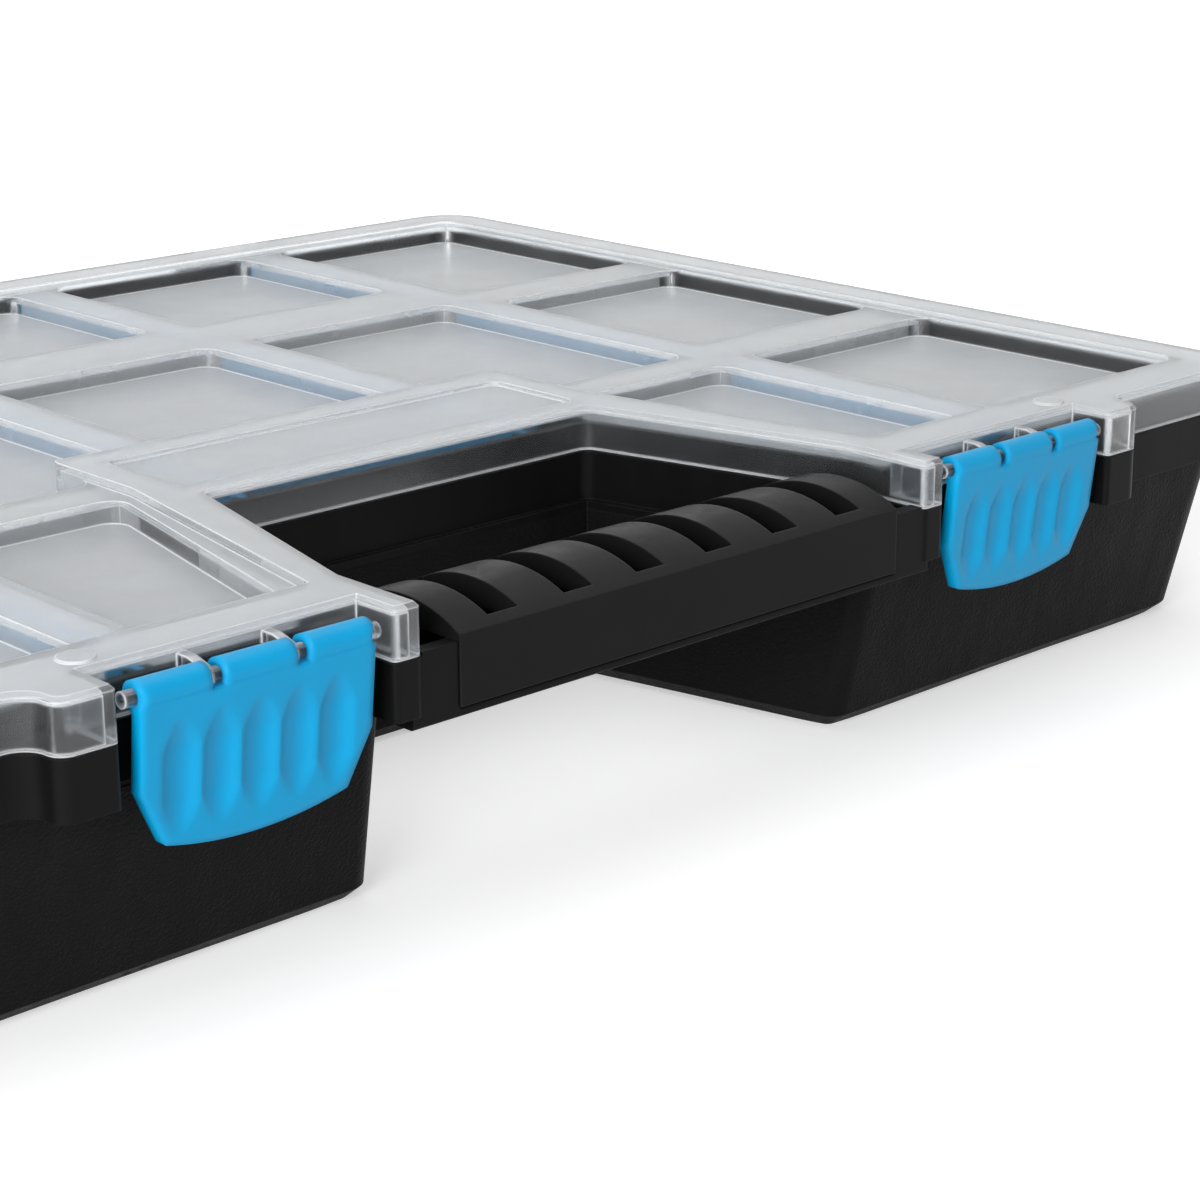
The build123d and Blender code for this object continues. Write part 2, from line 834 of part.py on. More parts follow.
def plate_section(x):
    """Side view of a latch's plate, which leans inwards below its roll."""
    with BuildSketch(leaning_plane(x), mode=Mode.PRIVATE) as section:
        with Locations((latch_length / 2, latch_plate / 2 - latch_roll_radius)):
            Rectangle(latch_length, latch_plate)
    return section.sketch


def clip_section(x):
    """Side view of the bore for the rod, with the mouth through which the rod snaps in."""
    reach = latch_roll_radius + pivot_clearance
    turn = math.radians(latch_mouth_angle)
    with BuildSketch(leaning_plane(x), mode=Mode.PRIVATE) as section:
        Circle(latch_rod_radius + pivot_clearance)
        with Locations((reach / 2 * math.cos(turn), reach / 2 * math.sin(turn))):
            Rectangle(reach, latch_mouth, rotation=latch_mouth_angle)
    return section.sketch


def latch_roll(centre):
    """Roll along the top of a latch, its ends bevelled in line with the plate."""
    with BuildPart(mode=Mode.PRIVATE) as roll:
        with BuildSketch(leaning_plane(centre - latch_width / 2)):
            Circle(latch_roll_radius)
        extrude(amount=latch_width)
        across = Plane(
            origin=(centre, latch_axis_y, latch_axis_z),
            x_dir=(1, 0, 0),
            z_dir=(0, math.sin(lean), -math.cos(lean)),
        )
        for side in (-1, 1):
            with BuildSketch(across):
                with BuildLine():
                    Polyline(
                        (side * latch_width / 2, latch_roll_radius),
                        (side * (latch_width / 2 - latch_edge_chamfer), latch_roll_radius),
                        (side * latch_width / 2, latch_roll_radius - latch_edge_chamfer),
                        close=True,
                    )
                make_face()
            extrude(amount=latch_roll_radius, both=True, mode=Mode.SUBTRACT)
    return roll.part


def latch_outline(centre):
    """Front view of a latch, straight sides ending in cut corners and a bowed foot."""
    half = latch_width / 2
    with BuildSketch(Plane.XZ.offset(-back(0)), mode=Mode.PRIVATE) as outline:
        with BuildLine():
            Polyline(
                (centre + half - latch_corner_cut, latch_foot + latch_bow),
                (centre + half, case_height - latch_side_height),
                (centre + half, latch_top),
                (centre - half, latch_top),
                (centre - half, case_height - latch_side_height),
                (centre - half + latch_corner_cut, latch_foot + latch_bow),
            )
            ThreePointArc(
                (centre - half + latch_corner_cut, latch_foot + latch_bow),
                (centre, latch_foot),
                (centre + half - latch_corner_cut, latch_foot + latch_bow),
            )
        make_face()
    return outline.sketch


def flute_section(x):
    """Half section of the spindle, coned at both ends, that hollows one finger flute."""
    axis_offset = flute_depth - flute_radius - latch_roll_radius
    ends = axis_offset + flute_radius - flute_depth
    middle = axis_offset + flute_radius
    with BuildSketch(leaning_plane(x), mode=Mode.PRIVATE) as section:
        with BuildLine():
            Polyline(
                (flute_start, axis_offset),
                (flute_start, ends),
                (flute_start + flute_taper, middle),
                (flute_start + flute_length - flute_taper, middle),
                (flute_start + flute_length, ends),
                (flute_start + flute_length, axis_offset),
                close=True,
            )
        make_face()
    plane = leaning_plane(x)
    return section.sketch, Axis(plane.from_local_coords((0, axis_offset, 0)), plane.x_dir)


for side, name in ((-1, "latch_left"), (1, "latch_right")):
    centre = side * latch_centre
    with BuildPart() as latch:
        # leaning plate with bevelled edges, and the roll that clips over its rod
        extrude(plate_section(centre - latch_width / 2), amount=latch_width)
        extrude(latch_outline(centre), amount=latch_front_reach + overrun, mode=Mode.INTERSECT)
        front_face = latch.faces().filter_by(GeomType.PLANE).sort_by(Axis.Y)[0]
        chamfer(front_face.edges().sort_by(Axis.Z)[:-1], latch_edge_chamfer)
        add(latch_roll(centre))
        extrude(clip_section(centre - latch_width / 2), amount=latch_width, mode=Mode.SUBTRACT)
        # slots over the ribs of the lid
        with BuildSketch(Plane.XY.offset(case_height - latch_slot_drop)):
            with Locations((centre, latch_axis_y)):
                with GridLocations(2 * latch_slot_offset, 0, 2, 1):
                    Rectangle(latch_slot_width, 2 * latch_front_reach)
        extrude(amount=latch_slot_drop, mode=Mode.SUBTRACT)
        # finger flutes
        for index in range(flute_count):
            section, axis = flute_section(centre + (index - (flute_count - 1) / 2) * flute_pitch)
            revolve(section, axis=axis, mode=Mode.SUBTRACT)
        # hook below the catch bead
        with BuildSketch(Plane.YZ.offset(centre - catch_half_width)):
            with BuildLine():
                Polyline(
                    (hook_root_y, hook_bottom - hook_lead),
                    (hook_root_y + latch_plate / 2, hook_bottom - hook_lead),
                    (hook_tip_y, hook_bottom + hook_lead),
                    (hook_tip_y, hook_bottom + hook_height),
                    (hook_root_y, hook_bottom + hook_height),
                    close=True,
                )
            make_face()
        extrude(amount=2 * catch_half_width)
    latch.part.label = name
    export_step(latch.part, f"parts/{name}.step")


# ------------------------------------------------------------------ dividers
for row, index, column in divider_places:
    front_face, rear_face = row_ends[row_of(row, column)]
    name = f"divider_{row}_{index + 1}"
    bead_start = front_face(collar_bottom) + guide_reach + divider_end_gap
    bead_end = rear_face(collar_bottom) - guide_reach - divider_end_gap
    with BuildPart() as divider:
        with BuildSketch(Plane.YZ.offset(column - divider_thickness / 2)):
            with BuildLine():
                Polyline(
                    (back(front_face(tray_floor) + divider_end_gap), tray_floor),
                    (back(front_face(collar_bottom) + divider_end_gap), collar_bottom),
                    (back(front_face(collar_bottom) + divider_end_gap), divider_top),
                    (back(rear_face(collar_bottom) - divider_end_gap), divider_top),
                    (back(rear_face(collar_bottom) - divider_end_gap), collar_bottom),
                    (back(rear_face(tray_floor) - divider_end_gap), tray_floor),
                    close=True,
                )
            make_face()
        extrude(amount=divider_thickness)
        with BuildSketch(Plane.XY.offset(divider_top - divider_bead_height)):
            with Locations((column, back((bead_start + bead_end) / 2))):
                Rectangle(divider_bead_thickness, bead_end - bead_start)
        extrude(amount=divider_bead_height)
    divider.part.label = name
    export_step(divider.part, f"parts/{name}.step")
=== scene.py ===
"""Looks of a flat compartment case: black moulded tray, milky clear lid, blue latches and dividers."""

import math

import bpy
from bpy.props import FloatProperty, FloatVectorProperty, PointerProperty
from mathutils import Matrix, Vector


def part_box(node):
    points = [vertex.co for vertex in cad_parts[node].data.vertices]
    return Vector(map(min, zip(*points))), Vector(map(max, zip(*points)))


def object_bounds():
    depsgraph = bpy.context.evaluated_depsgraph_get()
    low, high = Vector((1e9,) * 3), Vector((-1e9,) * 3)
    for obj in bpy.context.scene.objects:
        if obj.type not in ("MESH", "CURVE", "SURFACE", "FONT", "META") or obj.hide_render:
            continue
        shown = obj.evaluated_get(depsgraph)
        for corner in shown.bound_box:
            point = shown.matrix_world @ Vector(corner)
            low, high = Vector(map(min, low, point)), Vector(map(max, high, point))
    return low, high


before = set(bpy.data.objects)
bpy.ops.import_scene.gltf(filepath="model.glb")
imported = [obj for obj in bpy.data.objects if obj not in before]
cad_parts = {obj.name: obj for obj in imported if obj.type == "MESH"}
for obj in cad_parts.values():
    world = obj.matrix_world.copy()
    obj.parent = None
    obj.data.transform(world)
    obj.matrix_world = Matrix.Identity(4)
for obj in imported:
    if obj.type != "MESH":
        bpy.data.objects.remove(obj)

bl_info = {
    "name": "Compartment case looks",
    "version": (1, 0, 0),
    "blender": (4, 5, 0),
    "location": "View3D > Sidebar > Case",
    "description": "Dresses a flat compartment case in moulded plastics and sets up its studio",
    "category": "Object",
}

MM = 0.001

# ------------------------------------------------------------------ places taken from the frame
CAD_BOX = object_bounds()
TRAY_LOW, TRAY_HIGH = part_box("base_tray")
LID_LOW, LID_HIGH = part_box("lid")
DIVIDER_NODES = [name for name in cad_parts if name.startswith("divider_")]
LATCH_NODES = [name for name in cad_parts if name.startswith("latch_")]

# how far the latch bosses, the hinge lugs and the round pads stand out from the walls they are on
BOSS_REACH = 8.4 * MM
HINGE_REACH = 7.5 * MM
PAD_HEIGHT = 0.5 * MM
LID_FRONT = LID_LOW.y + BOSS_REACH
LID_REAR = TRAY_HIGH.y - HINGE_REACH
LID_TOP = LID_HIGH.z - PAD_HEIGHT

# the tray's smooth collar ends this far below the lid's lowest point
COLLAR_HEIGHT = 11.5 * MM

# upright blocks as (centre, half size) in plan: the pockets inside the rim, and the handle gap
RIM_BAND = 16 * MM
SKIRT_BAND = 5 * MM
RECESS_HALF = 72 * MM
RECESS_DEPTH = 82 * MM
FIELD_BLOCK = (
    (0.0, (LID_FRONT + LID_REAR) / 2),
    (LID_HIGH.x - RIM_BAND, (LID_REAR - LID_FRONT) / 2 - RIM_BAND),
)
RECESS_BLOCK = (
    (0.0, LID_FRONT + (SKIRT_BAND + RECESS_DEPTH) / 2),
    (RECESS_HALF, (RECESS_DEPTH - SKIRT_BAND) / 2),
)

# ------------------------------------------------------------------ figures of the finishes
PLASTIC_IOR = 1.49
CLEAR_IOR = 1.45
# a noise texture spends most of its surface between these two values
NOISE_LOW = 0.3
NOISE_HIGH = 0.7
# sockets of a Mix node for each kind of data: first, second, result
MIX_SOCKETS = {"FLOAT": (2, 3, 0), "RGBA": (6, 7, 2)}


# ------------------------------------------------------------------ settings
class CASE_PG_plastics(bpy.types.PropertyGroup):
    """Colours and surface of the moulded plastics."""

    tray_colour: FloatVectorProperty(
        name="Tray colour",
        description="Colour of the black tray",
        default=(0.0055, 0.0055, 0.0057),
        size=3,
        subtype="COLOR",
        min=0.0,
        max=1.0,
    )
    grip_colour: FloatVectorProperty(
        name="Grip colour",
        description="Colour of the ribbed handle grip",
        default=(0.0080, 0.0080, 0.0080),
        size=3,
        subtype="COLOR",
        min=0.0,
        max=1.0,
    )
    lid_colour: FloatVectorProperty(
        name="Lid colour",
        description="Tint of the milky clear lid",
        default=(0.90, 0.92, 0.94),
        size=3,
        subtype="COLOR",
        min=0.0,
        max=1.0,
    )
    latch_colour: FloatVectorProperty(
        name="Latch colour",
        description="Colour of the snap latches",
        default=(0.000, 0.340, 0.655),
        size=3,
        subtype="COLOR",
        min=0.0,
        max=1.0,
    )
    divider_colour: FloatVectorProperty(
        name="Divider colour",
        description="Colour of the loose dividers",
        default=(0.020, 0.330, 0.620),
        size=3,
        subtype="COLOR",
        min=0.0,
        max=1.0,
    )
    grain_size: FloatProperty(
        name="Grain size",
        description="Distance between the pebbles of the moulded grain",
        default=0.65 * MM,
        min=0.1 * MM,
        max=5 * MM,
        unit="LENGTH",
    )
    grain_height: FloatProperty(
        name="Grain height",
        description="Height of the moulded grain",
        default=0.16 * MM,
        min=0.0,
        max=1 * MM,
        unit="LENGTH",
    )
    top_milkiness: FloatProperty(
        name="Top milkiness",
        description="Share of light that the lid's level faces scatter",
        default=0.38,
        min=0.0,
        max=1.0,
        subtype="FACTOR",
    )
    skirt_milkiness: FloatProperty(
        name="Skirt milkiness",
        description="Share of light that the lid's clear skirt scatters",
        default=0.02,
        min=0.0,
        max=1.0,
        subtype="FACTOR",
    )
    pocket_milkiness: FloatProperty(
        name="Pocket milkiness",
        description="Share of light that the upright walls of the lid's pockets scatter",
        default=0.26,
        min=0.0,
        max=1.0,
        subtype="FACTOR",
    )
    # painted highlight: raised along the sharp edges, this share makes them read as bright highlight
    # lines; a fainter part of it whitens a wider band beside them for the milkier plastic there
    edge_highlight_and_milkiness: FloatProperty(
        name="Edge milkiness",
        description="Share of light that the lid scatters along its edges",
        default=0.88,
        min=0.0,
        max=1.0,
        subtype="FACTOR",
    )


class CASE_PG_studio(bpy.types.PropertyGroup):
    """Camera, lamps and floor."""

    camera_offset: FloatVectorProperty(
        name="Camera offset",
        description="Where the camera stands, counted from the middle of the lid's front top edge",
        default=(-0.3607, -0.3631, 0.1454),
        size=3,
        subtype="TRANSLATION",
        unit="LENGTH",
    )
    camera_azimuth: FloatProperty(
        name="Camera azimuth",
        description="Heading of the camera round the case, counted from its front",
        default=math.radians(-43.42),
        subtype="ANGLE",
    )
    camera_elevation: FloatProperty(
        name="Camera elevation",
        description="How far down the camera looks",
        default=math.radians(17.58),
        subtype="ANGLE",
    )
    camera_roll: FloatProperty(
        name="Camera roll",
        description="Turn of the camera about its own line of sight",
        default=math.radians(-0.17),
        subtype="ANGLE",
    )
    focal_length: FloatProperty(
        name="Focal length",
        description="Focal length in millimetres on a 36 mm sensor",
        default=82.67,
        min=10.0,
        max=300.0,
    )
    top_light: FloatProperty(
        name="Top light",
        description="Power of the large overhead softbox",
        default=8.0,
        min=0.0,
        unit="POWER",
    )
    side_light: FloatProperty(
        name="Side light",
        description="Power of the softbox on the left",
        default=22.0,
        min=0.0,
        unit="POWER",
    )
    sky_light: FloatProperty(
        name="Sky light",
        description="Strength of the even light from all round",
        default=0.32,
        min=0.0,
        max=2.0,
    )
    floor_size: FloatProperty(
        name="Floor size",
        description="Length of a side of the floor",
        default=12.0,
        min=1.0,
        unit="LENGTH",
    )


# ------------------------------------------------------------------ node helpers
def new_material(name):
    """An empty node material with its output node."""
    material = bpy.data.materials.new(name)
    material.use_nodes = True
    tree = material.node_tree
    tree.nodes.clear()
    output = tree.nodes.new("ShaderNodeOutputMaterial")
    return material, tree, output


def add_node(tree, kind, **values):
    """A node whose plain settings and socket values are given by name."""
    node = tree.nodes.new("ShaderNode" + kind)
    for key, value in values.items():
        socket = node.inputs.get(key.replace("_", " ").title())
        if hasattr(node, key):
            setattr(node, key, value)
        elif socket is not None:
            socket.default_value = value
        else:
            raise KeyError(f"{kind} has no setting {key}")
    return node


def join(tree, source, target):
    """Links one socket to another."""
    tree.links.new(source, target)


def object_point(tree, scale=1.0, stretch=(1.0, 1.0, 1.0)):
    """Object coordinates in metres, multiplied by a scale and a stretch."""
    place = tree.nodes.new("ShaderNodeTexCoord")
    mapping = tree.nodes.new("ShaderNodeMapping")
    mapping.inputs["Scale"].default_value = [scale * part for part in stretch]
    join(tree, place.outputs["Object"], mapping.inputs["Vector"])
    return mapping.outputs["Vector"]


def split_axes(tree, vector):
    """The parts of a vector as outputs X, Y and Z."""
    node = tree.nodes.new("ShaderNodeSeparateXYZ")
    join(tree, vector, node.inputs["Vector"])
    return node.outputs


def noise(tree, size, detail=3.0, roughness=0.5, stretch=(1.0, 1.0, 1.0)):
    """Noise whose blotches are about the given size in metres."""
    node = add_node(tree, "TexNoise", noise_dimensions="3D", detail=detail, roughness=roughness)
    node.inputs["Scale"].default_value = 1.0
    join(tree, object_point(tree, 1.0 / size, stretch), node.inputs["Vector"])
    return node.outputs["Fac"]


def remap(tree, source, low, high, new_low, new_high):
    """A value range stretched onto another, with its ends held."""
    node = tree.nodes.new("ShaderNodeMapRange")
    node.clamp = True
    node.inputs["From Min"].default_value = low
    node.inputs["From Max"].default_value = high
    node.inputs["To Min"].default_value = new_low
    node.inputs["To Max"].default_value = new_high
    join(tree, source, node.inputs["Value"])
    return node.outputs["Result"]


def wander(tree, blotches, low, high):
    """A value that follows a noise between two limits."""
    return remap(tree, blotches, NOISE_LOW, NOISE_HIGH, low, high)


def calculate(tree, operation, first, second=0.0):
    """Maths on two sockets or numbers."""
    node = tree.nodes.new("ShaderNodeMath")
    node.operation = operation
    for socket, value in zip(node.inputs, (first, second)):
        if isinstance(value, (int, float)):
            socket.default_value = value
        else:
            join(tree, value, socket)
    return node.outputs["Value"]


def blend(tree, kind, factor, first, second):
    """A mix of two values or two colours by a factor socket."""
    first_place, second_place, result_place = MIX_SOCKETS[kind]
    node = tree.nodes.new("ShaderNodeMix")
    node.data_type = kind
    join(tree, factor, node.inputs["Factor"])
    for place, value in ((first_place, first), (second_place, second)):
        if isinstance(value, tuple):
            node.inputs[place].default_value = (*value, 1.0)
        else:
            join(tree, value, node.inputs[place])
    return node.outputs[result_place]


def blend_shaders(tree, factor, first, second):
    """A mix of two shaders by a number or a factor socket."""
    node = tree.nodes.new("ShaderNodeMixShader")
    if isinstance(factor, float):
        node.inputs["Fac"].default_value = factor
    else:
        join(tree, factor, node.inputs["Fac"])
    join(tree, first, node.inputs[1])
    join(tree, second, node.inputs[2])
    return node.outputs["Shader"]


def scaled_colour(colour, factor):
    """A colour made lighter or darker."""
    return tuple(min(1.0, part * factor) for part in colour)


def bump(tree, height, distance, strength=1.0, normal=None):
    """A bump from a height socket, on top of an earlier normal."""
    node = add_node(tree, "Bump", distance=distance, strength=strength)
    join(tree, height, node.inputs["Height"])
    if normal is not None:
        join(tree, normal, node.inputs["Normal"])
    return node.outputs["Normal"]


def rounded_edges(tree, radius):
    """Normal that runs smoothly round the sharp edges, and a mask of those edges."""
    bevel = tree.nodes.new("ShaderNodeBevel")
    bevel.samples = 6
    bevel.inputs["Radius"].default_value = radius
    geometry = tree.nodes.new("ShaderNodeNewGeometry")
    dot = tree.nodes.new("ShaderNodeVectorMath")
    dot.operation = "DOT_PRODUCT"
    join(tree, bevel.outputs["Normal"], dot.inputs[0])
    join(tree, geometry.outputs["True Normal"], dot.inputs[1])
    mask = remap(tree, dot.outputs["Value"], 0.98, 0.84, 0.0, 1.0)
    return bevel.outputs["Normal"], mask


def within(tree, centre, half):
    """One where a point lies in an upright block given by its plan, else nought."""
    point = split_axes(tree, object_point(tree))
    sides = []
    for axis, middle, reach in zip("XY", centre, half):
        offset = calculate(tree, "SUBTRACT", point[axis], middle)
        sides.append(calculate(tree, "LESS_THAN", calculate(tree, "ABSOLUTE", offset), reach))
    return calculate(tree, "MULTIPLY", *sides)


# ------------------------------------------------------------------ plastics
def mould_grain(tree, settings, etched):
    """Height of the pebbles that an etched mould leaves, nought where it is polished."""
    cells = add_node(tree, "TexVoronoi", feature="SMOOTH_F1", scale=1.0)
    join(tree, object_point(tree, 1.0 / settings.grain_size), cells.inputs["Vector"])
    fine = noise(tree, settings.grain_size * 0.7, detail=2.0)
    pebbles = calculate(tree, "ADD", cells.outputs["Distance"], fine)
    return calculate(tree, "MULTIPLY", pebbles, etched)


def black_plastic(name, colour, settings, grain_top):
    """Black polypropylene, pebbled below grain_top and smooth above it, rubbed paler on its edges."""
    material, tree, output = new_material(name)
    shader = add_node(tree, "BsdfPrincipled")
    shader.inputs["IOR"].default_value = PLASTIC_IOR
    shader.inputs["Specular IOR Level"].default_value = 0.07
    edge_normal, edge_mask = rounded_edges(tree, 0.5 * MM)
    clouds = noise(tree, 35 * MM, detail=4.0)
    scuffs = noise(tree, 6 * MM, detail=5.0, roughness=0.7, stretch=(1.0, 1.0, 0.25))

    # colour, uneven from place to place and paler where the edges are rubbed
    body = blend(tree, "RGBA", clouds, scaled_colour(colour, 0.75), scaled_colour(colour, 1.35))
    rubbed = calculate(tree, "MULTIPLY", edge_mask, remap(tree, scuffs, 0.35, 0.75, 0.15, 0.8))
    with_edges = blend(tree, "RGBA", rubbed, body, scaled_colour(colour, 4.0))
    join(tree, with_edges, shader.inputs["Base Color"])

    # pebbled grain, over the slow waviness of a moulded wall
    height = split_axes(tree, object_point(tree))["Z"]
    etched = remap(tree, height, grain_top, grain_top - 0.5 * MM, 0.0, 1.0)
    grain = mould_grain(tree, settings, etched)
    normal = bump(tree, grain, settings.grain_height, normal=edge_normal)
    waves = noise(tree, 18 * MM, detail=2.0)
    normal = bump(tree, waves, 0.12 * MM, strength=0.6, normal=normal)
    join(tree, normal, shader.inputs["Normal"])

    polished = wander(tree, scuffs, 0.30, 0.44)
    matte = wander(tree, scuffs, 0.46, 0.60)
    join(tree, blend(tree, "FLOAT", etched, polished, matte), shader.inputs["Roughness"])
    join(tree, shader.outputs["BSDF"], output.inputs["Surface"])
    return material


def lid_milkiness(tree, settings, clouds, edge_mask):
    """Share of scattered light: level faces frosted, upright walls clearer, edges whitest, partly as a
    painted highlight.
    """
    place = tree.nodes.new("ShaderNodeTexCoord")
    slope = calculate(tree, "ABSOLUTE", split_axes(tree, place.outputs["Normal"])["Z"])
    facing_up = remap(tree, slope, 0.5, 0.95, 0.0, 1.0)
    top = calculate(tree, "MULTIPLY", facing_up, settings.top_milkiness)
    pockets = calculate(tree, "SUBTRACT", within(tree, *FIELD_BLOCK), within(tree, *RECESS_BLOCK))
    upright = remap(
        tree, pockets, 0.0, 1.0, settings.skirt_milkiness, settings.pocket_milkiness
    )
    faces = calculate(
        tree,
        "MULTIPLY",
        calculate(tree, "MAXIMUM", top, upright),
        wander(tree, clouds, 0.93, 1.07),
    )
    # painted highlight: the sharp edges get nearly all their light scattered so they read as bright
    # lines; the wider band, at about a third of that, stands for milkier plastic near the walls
    _, band_mask = rounded_edges(tree, 1.5 * MM)
    edges = calculate(
        tree,
        "MAXIMUM",
        calculate(tree, "MULTIPLY", edge_mask, settings.edge_highlight_and_milkiness),
        calculate(tree, "MULTIPLY", band_mask, settings.edge_highlight_and_milkiness * 0.35),
    )
    return calculate(tree, "MAXIMUM", faces, edges)


def milky_plastic(name, colour, settings):
    """Milky clear polypropylene: part of the light scatters, the rest goes through softly."""
    material, tree, output = new_material(name)
    clouds = noise(tree, 25 * MM, detail=4.0)
    fine = noise(tree, 3.0 * MM, detail=1.0)
    edge_normal, edge_mask = rounded_edges(tree, 0.7 * MM)
    normal = bump(tree, fine, 0.002 * MM, strength=0.5, normal=edge_normal)
    normal = bump(tree, clouds, 0.05 * MM, strength=0.6, normal=normal)

    clear = add_node(tree, "BsdfPrincipled")
    clear.inputs["Base Color"].default_value = (*colour, 1.0)
    clear.inputs["Transmission Weight"].default_value = 1.0
    clear.inputs["IOR"].default_value = CLEAR_IOR
    join(tree, normal, clear.inputs["Normal"])
    join(tree, wander(tree, clouds, 0.16, 0.26), clear.inputs["Roughness"])

    # haze inside the plastic sends light back and, for a third, onwards
    back = add_node(tree, "BsdfDiffuse")
    onwards = add_node(tree, "BsdfTranslucent")
    for node in (back, onwards):
        node.inputs["Color"].default_value = (*colour, 1.0)
        join(tree, normal, node.inputs["Normal"])
    haze = blend_shaders(tree, 0.35, back.outputs["BSDF"], onwards.outputs["BSDF"])
    share = lid_milkiness(tree, settings, clouds, edge_mask)
    body = blend_shaders(tree, share, clear.outputs["BSDF"], haze)

    # painted highlight: a near-white matte shader is mixed in along the edges of the moulding so that
    # they read as bright highlight lines
    painted_edge_highlight = add_node(tree, "BsdfDiffuse")
    painted_edge_highlight.inputs["Color"].default_value = (0.96, 0.97, 0.98, 1.0)
    join(tree, edge_normal, painted_edge_highlight.inputs["Normal"])
    edge_highlight_share = calculate(tree, "MULTIPLY", edge_mask, 0.75)
    with_edges = blend_shaders(tree, edge_highlight_share, body, painted_edge_highlight.outputs["BSDF"])
    join(tree, with_edges, output.inputs["Surface"])
    return material


def coloured_plastic(name, colour, edge_radius):
    """Satin dyed polypropylene with a faint grain and edges rubbed paler."""
    material, tree, output = new_material(name)
    shader = add_node(tree, "BsdfPrincipled")
    shader.inputs["IOR"].default_value = PLASTIC_IOR
    shader.inputs["Specular IOR Level"].default_value = 0.25
    shader.inputs["Subsurface Weight"].default_value = 0.05
    shader.inputs["Subsurface Radius"].default_value = (0.3, 0.6, 1.0)
    shader.inputs["Subsurface Scale"].default_value = 1.5 * MM
    edge_normal, edge_mask = rounded_edges(tree, edge_radius)
    clouds = noise(tree, 9 * MM, detail=4.0)
    fine = noise(tree, 0.5 * MM, detail=2.0)

    body = blend(tree, "RGBA", clouds, scaled_colour(colour, 0.93), scaled_colour(colour, 1.06))
    rubbed = calculate(tree, "MULTIPLY", edge_mask, 0.35)
    with_edges = blend(tree, "RGBA", rubbed, body, scaled_colour(colour, 1.5))
    join(tree, with_edges, shader.inputs["Base Color"])
    normal = bump(tree, fine, 0.012 * MM, strength=0.5, normal=edge_normal)
    normal = bump(tree, clouds, 0.05 * MM, strength=0.5, normal=normal)
    join(tree, normal, shader.inputs["Normal"])
    join(tree, wander(tree, clouds, 0.32, 0.42), shader.inputs["Roughness"])
    join(tree, shader.outputs["BSDF"], output.inputs["Surface"])
    return material


def dress(node_name, material):
    """Puts a material in every slot of a CAD node."""
    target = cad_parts[node_name]
    if not target.material_slots:
        raise RuntimeError(f"{node_name} has no material slot")
    for place in target.material_slots:
        place.material = material


# ------------------------------------------------------------------ pieces
class CASE_OT_tray(bpy.types.Operator):
    """Dress the tray, whose tub is pebbled and whose collar is smooth"""

    bl_idname = "case.tray"
    bl_label = "Tray"

    def execute(self, context):
        settings = context.scene.case_plastics
        collar_bottom = LID_LOW.z - COLLAR_HEIGHT
        material = black_plastic("tray_black", settings.tray_colour, settings, collar_bottom)
        dress("base_tray", material)
        return {"FINISHED"}


class CASE_OT_grip(bpy.types.Operator):
    """Dress the ribbed grip in smooth black plastic"""

    bl_idname = "case.grip"
    bl_label = "Handle grip"

    def execute(self, context):
        settings = context.scene.case_plastics
        material = black_plastic("grip_black", settings.grip_colour, settings, TRAY_LOW.z)
        dress("handle_grip", material)
        return {"FINISHED"}


class CASE_OT_lid(bpy.types.Operator):
    """Dress the lid in milky clear plastic"""

    bl_idname = "case.lid"
    bl_label = "Lid"

    def execute(self, context):
        settings = context.scene.case_plastics
        dress("lid", milky_plastic("lid_milky", settings.lid_colour, settings))
        return {"FINISHED"}


class CASE_OT_latches(bpy.types.Operator):
    """Dress the two snap latches"""

    bl_idname = "case.latches"
    bl_label = "Latches"

    def execute(self, context):
        settings = context.scene.case_plastics
        material = coloured_plastic("latch_blue", settings.latch_colour, 2.2 * MM)
        for name in LATCH_NODES:
            dress(name, material)
        return {"FINISHED"}


class CASE_OT_dividers(bpy.types.Operator):
    """Dress the loose dividers"""

    bl_idname = "case.dividers"
    bl_label = "Dividers"

    def execute(self, context):
        settings = context.scene.case_plastics
        material = coloured_plastic("divider_blue", settings.divider_colour, 0.3 * MM)
        for name in DIVIDER_NODES:
            dress(name, material)
        return {"FINISHED"}


# ------------------------------------------------------------------ stage
def seen_directly(tree):
    """One for rays that come from the camera, a mirror or through glass, else nought."""
    path = tree.nodes.new("ShaderNodeLightPath")
    seen = calculate(tree, "MAXIMUM", path.outputs["Is Camera Ray"], path.outputs["Is Glossy Ray"])
    return calculate(tree, "MAXIMUM", seen, path.outputs["Is Transmission Ray"])


def white_world(strength):
    """Even light from all round that is plain white where it is seen."""
    world = bpy.data.worlds.new("studio_world")
    world.use_nodes = True
    tree = world.node_tree
    tree.nodes.clear()
    output = tree.nodes.new("ShaderNodeOutputWorld")
    background = tree.nodes.new("ShaderNodeBackground")
    background.inputs["Color"].default_value = (1.0, 1.0, 1.0, 1.0)
    brightness = remap(tree, seen_directly(tree), 0.0, 1.0, strength, 1.0)
    join(tree, brightness, background.inputs["Strength"])
    join(tree, background.outputs["Background"], output.inputs["Surface"])
    return world


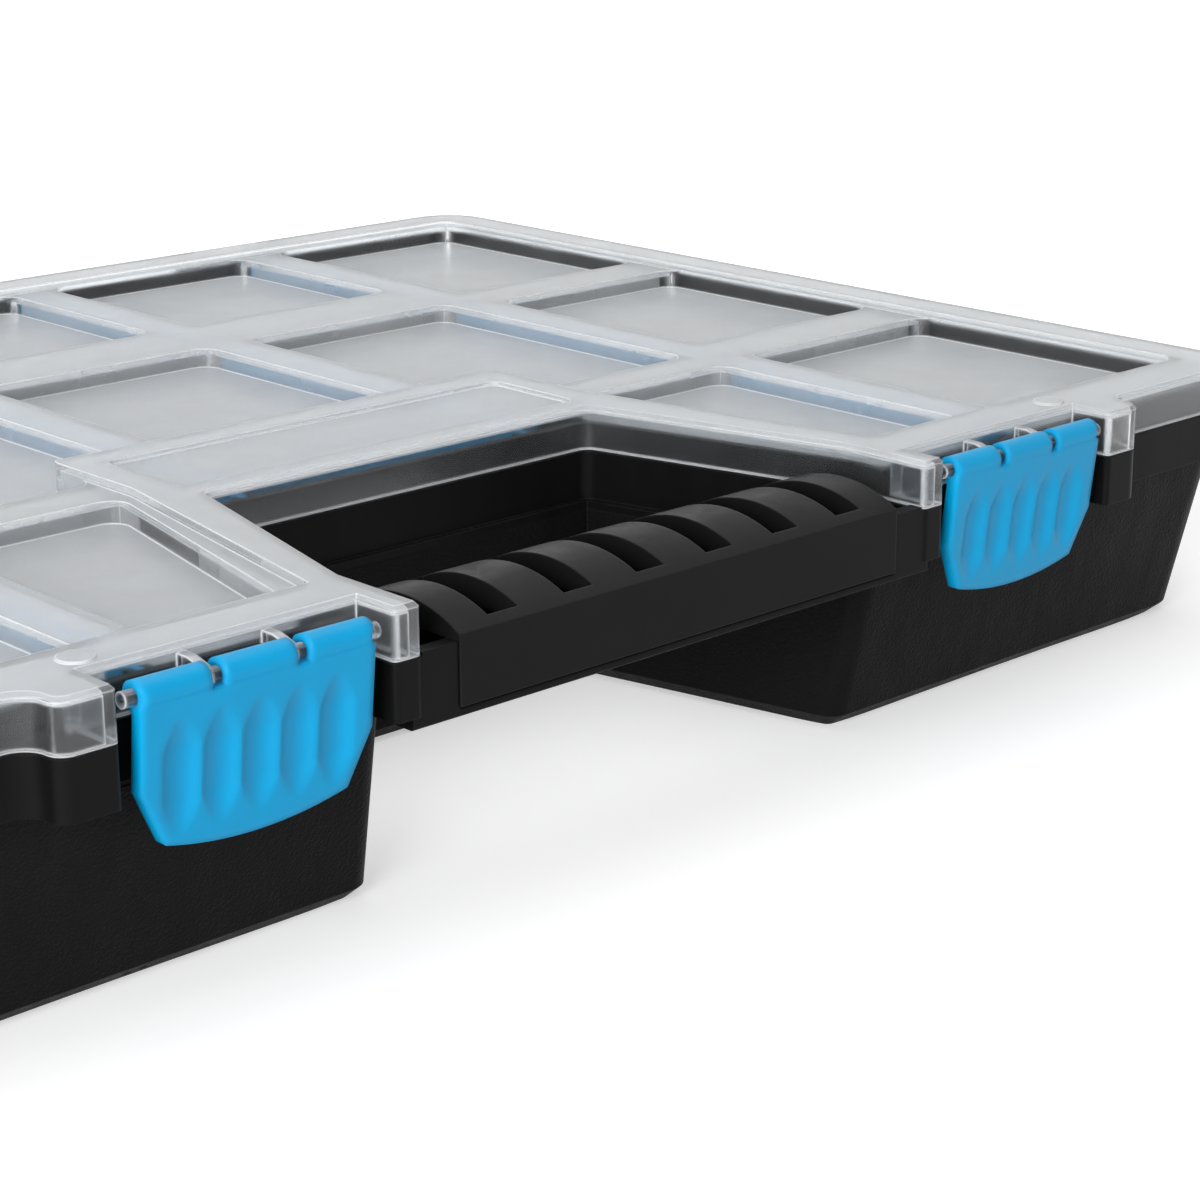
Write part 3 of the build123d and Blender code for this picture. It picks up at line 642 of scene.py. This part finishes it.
def floor_material():
    """White floor that keeps the shadow and turns to plain white away from the case."""
    material, tree, output = new_material("studio_floor")
    matte = add_node(tree, "BsdfDiffuse")
    matte.inputs["Color"].default_value = (0.74, 0.74, 0.74, 1.0)
    glow = tree.nodes.new("ShaderNodeEmission")
    distance = tree.nodes.new("ShaderNodeVectorMath")
    distance.operation = "LENGTH"
    join(tree, object_point(tree), distance.inputs[0])
    lift = remap(tree, distance.outputs["Value"], 0.28, 0.70, 0.46, 1.0)
    join(tree, calculate(tree, "MULTIPLY", seen_directly(tree), lift), glow.inputs["Strength"])
    both = tree.nodes.new("ShaderNodeAddShader")
    join(tree, matte.outputs["BSDF"], both.inputs[0])
    join(tree, glow.outputs["Emission"], both.inputs[1])
    join(tree, both.outputs["Shader"], output.inputs["Surface"])
    return material


def softbox(name, place, target, size, power):
    """A square area lamp that faces a point."""
    lamp = bpy.data.lights.new(name, "AREA")
    lamp.shape = "SQUARE"
    lamp.size = size
    lamp.energy = power
    holder = bpy.data.objects.new(name, lamp)
    holder.location = place
    holder.rotation_euler = (Vector(target) - Vector(place)).to_track_quat("-Z", "Y").to_euler()
    bpy.context.scene.collection.objects.link(holder)
    return holder


def place_camera(studio):
    """Camera on its stand, turned by azimuth, elevation and roll."""
    azimuth = studio.camera_azimuth
    elevation = studio.camera_elevation
    backwards = Vector(
        (
            math.sin(azimuth) * math.cos(elevation),
            -math.cos(azimuth) * math.cos(elevation),
            math.sin(elevation),
        )
    )
    right = Vector((math.cos(azimuth), math.sin(azimuth), 0.0))
    up = backwards.cross(right)
    turned_right = right * math.cos(studio.camera_roll) + up * math.sin(studio.camera_roll)
    turned_up = backwards.cross(turned_right)
    data = bpy.data.cameras.new("studio_camera")
    data.sensor_width = 36.0
    data.lens = studio.focal_length
    data.clip_start = 0.01
    camera = bpy.data.objects.new("studio_camera", data)
    axes = Matrix((turned_right, turned_up, backwards)).transposed()
    stand = Vector((0.0, LID_FRONT, LID_TOP)) + Vector(studio.camera_offset)
    camera.matrix_world = Matrix.Translation(stand) @ axes.to_4x4()
    bpy.context.scene.collection.objects.link(camera)
    bpy.context.scene.camera = camera


class CASE_OT_stage(bpy.types.Operator):
    """Set up the floor, the lamps, the world and the camera"""

    bl_idname = "case.stage"
    bl_label = "Studio"

    def execute(self, context):
        studio = context.scene.case_studio
        bpy.ops.mesh.primitive_plane_add(size=studio.floor_size, location=(0.0, 0.0, CAD_BOX[0][2]))
        floor = context.active_object
        floor.name = "studio_floor"
        floor.data.materials.append(floor_material())
        softbox("top_softbox", (0.1, 0.1, 1.3), (0.0, 0.0, 0.0), 1.4, studio.top_light)
        softbox("side_softbox", (-1.3, -0.75, 0.55), (0.0, 0.0, 0.03), 0.8, studio.side_light)
        context.scene.world = white_world(studio.sky_light)
        place_camera(studio)
        context.scene.view_settings.view_transform = "Standard"
        return {"FINISHED"}


class CASE_PT_panel(bpy.types.Panel):
    """Lists the pieces of the case and the studio"""

    bl_idname = "CASE_PT_panel"
    bl_label = "Compartment case"
    bl_space_type = "VIEW_3D"
    bl_region_type = "UI"
    bl_category = "Case"

    def draw(self, context):
        layout = self.layout
        for group in (context.scene.case_plastics, context.scene.case_studio):
            for name in group.__annotations__:
                layout.prop(group, name)
        for operator in OPERATORS:
            layout.operator(operator.bl_idname)


OPERATORS = (
    CASE_OT_tray,
    CASE_OT_grip,
    CASE_OT_lid,
    CASE_OT_latches,
    CASE_OT_dividers,
    CASE_OT_stage,
)
CLASSES = (CASE_PG_plastics, CASE_PG_studio, *OPERATORS, CASE_PT_panel)


def register():
    """Makes the settings, the operators and the panel known to Blender."""
    for item in CLASSES:
        bpy.utils.register_class(item)
    bpy.types.Scene.case_plastics = PointerProperty(type=CASE_PG_plastics)
    bpy.types.Scene.case_studio = PointerProperty(type=CASE_PG_studio)


def unregister():
    """Takes them away again."""
    del bpy.types.Scene.case_studio
    del bpy.types.Scene.case_plastics
    for item in reversed(CLASSES):
        bpy.utils.unregister_class(item)


def main():
    """Runs every operator in order."""
    register()
    for operator in OPERATORS:
        group, action = operator.bl_idname.split(".")
        getattr(getattr(bpy.ops, group), action)()


if __name__ == "__main__":
    main()
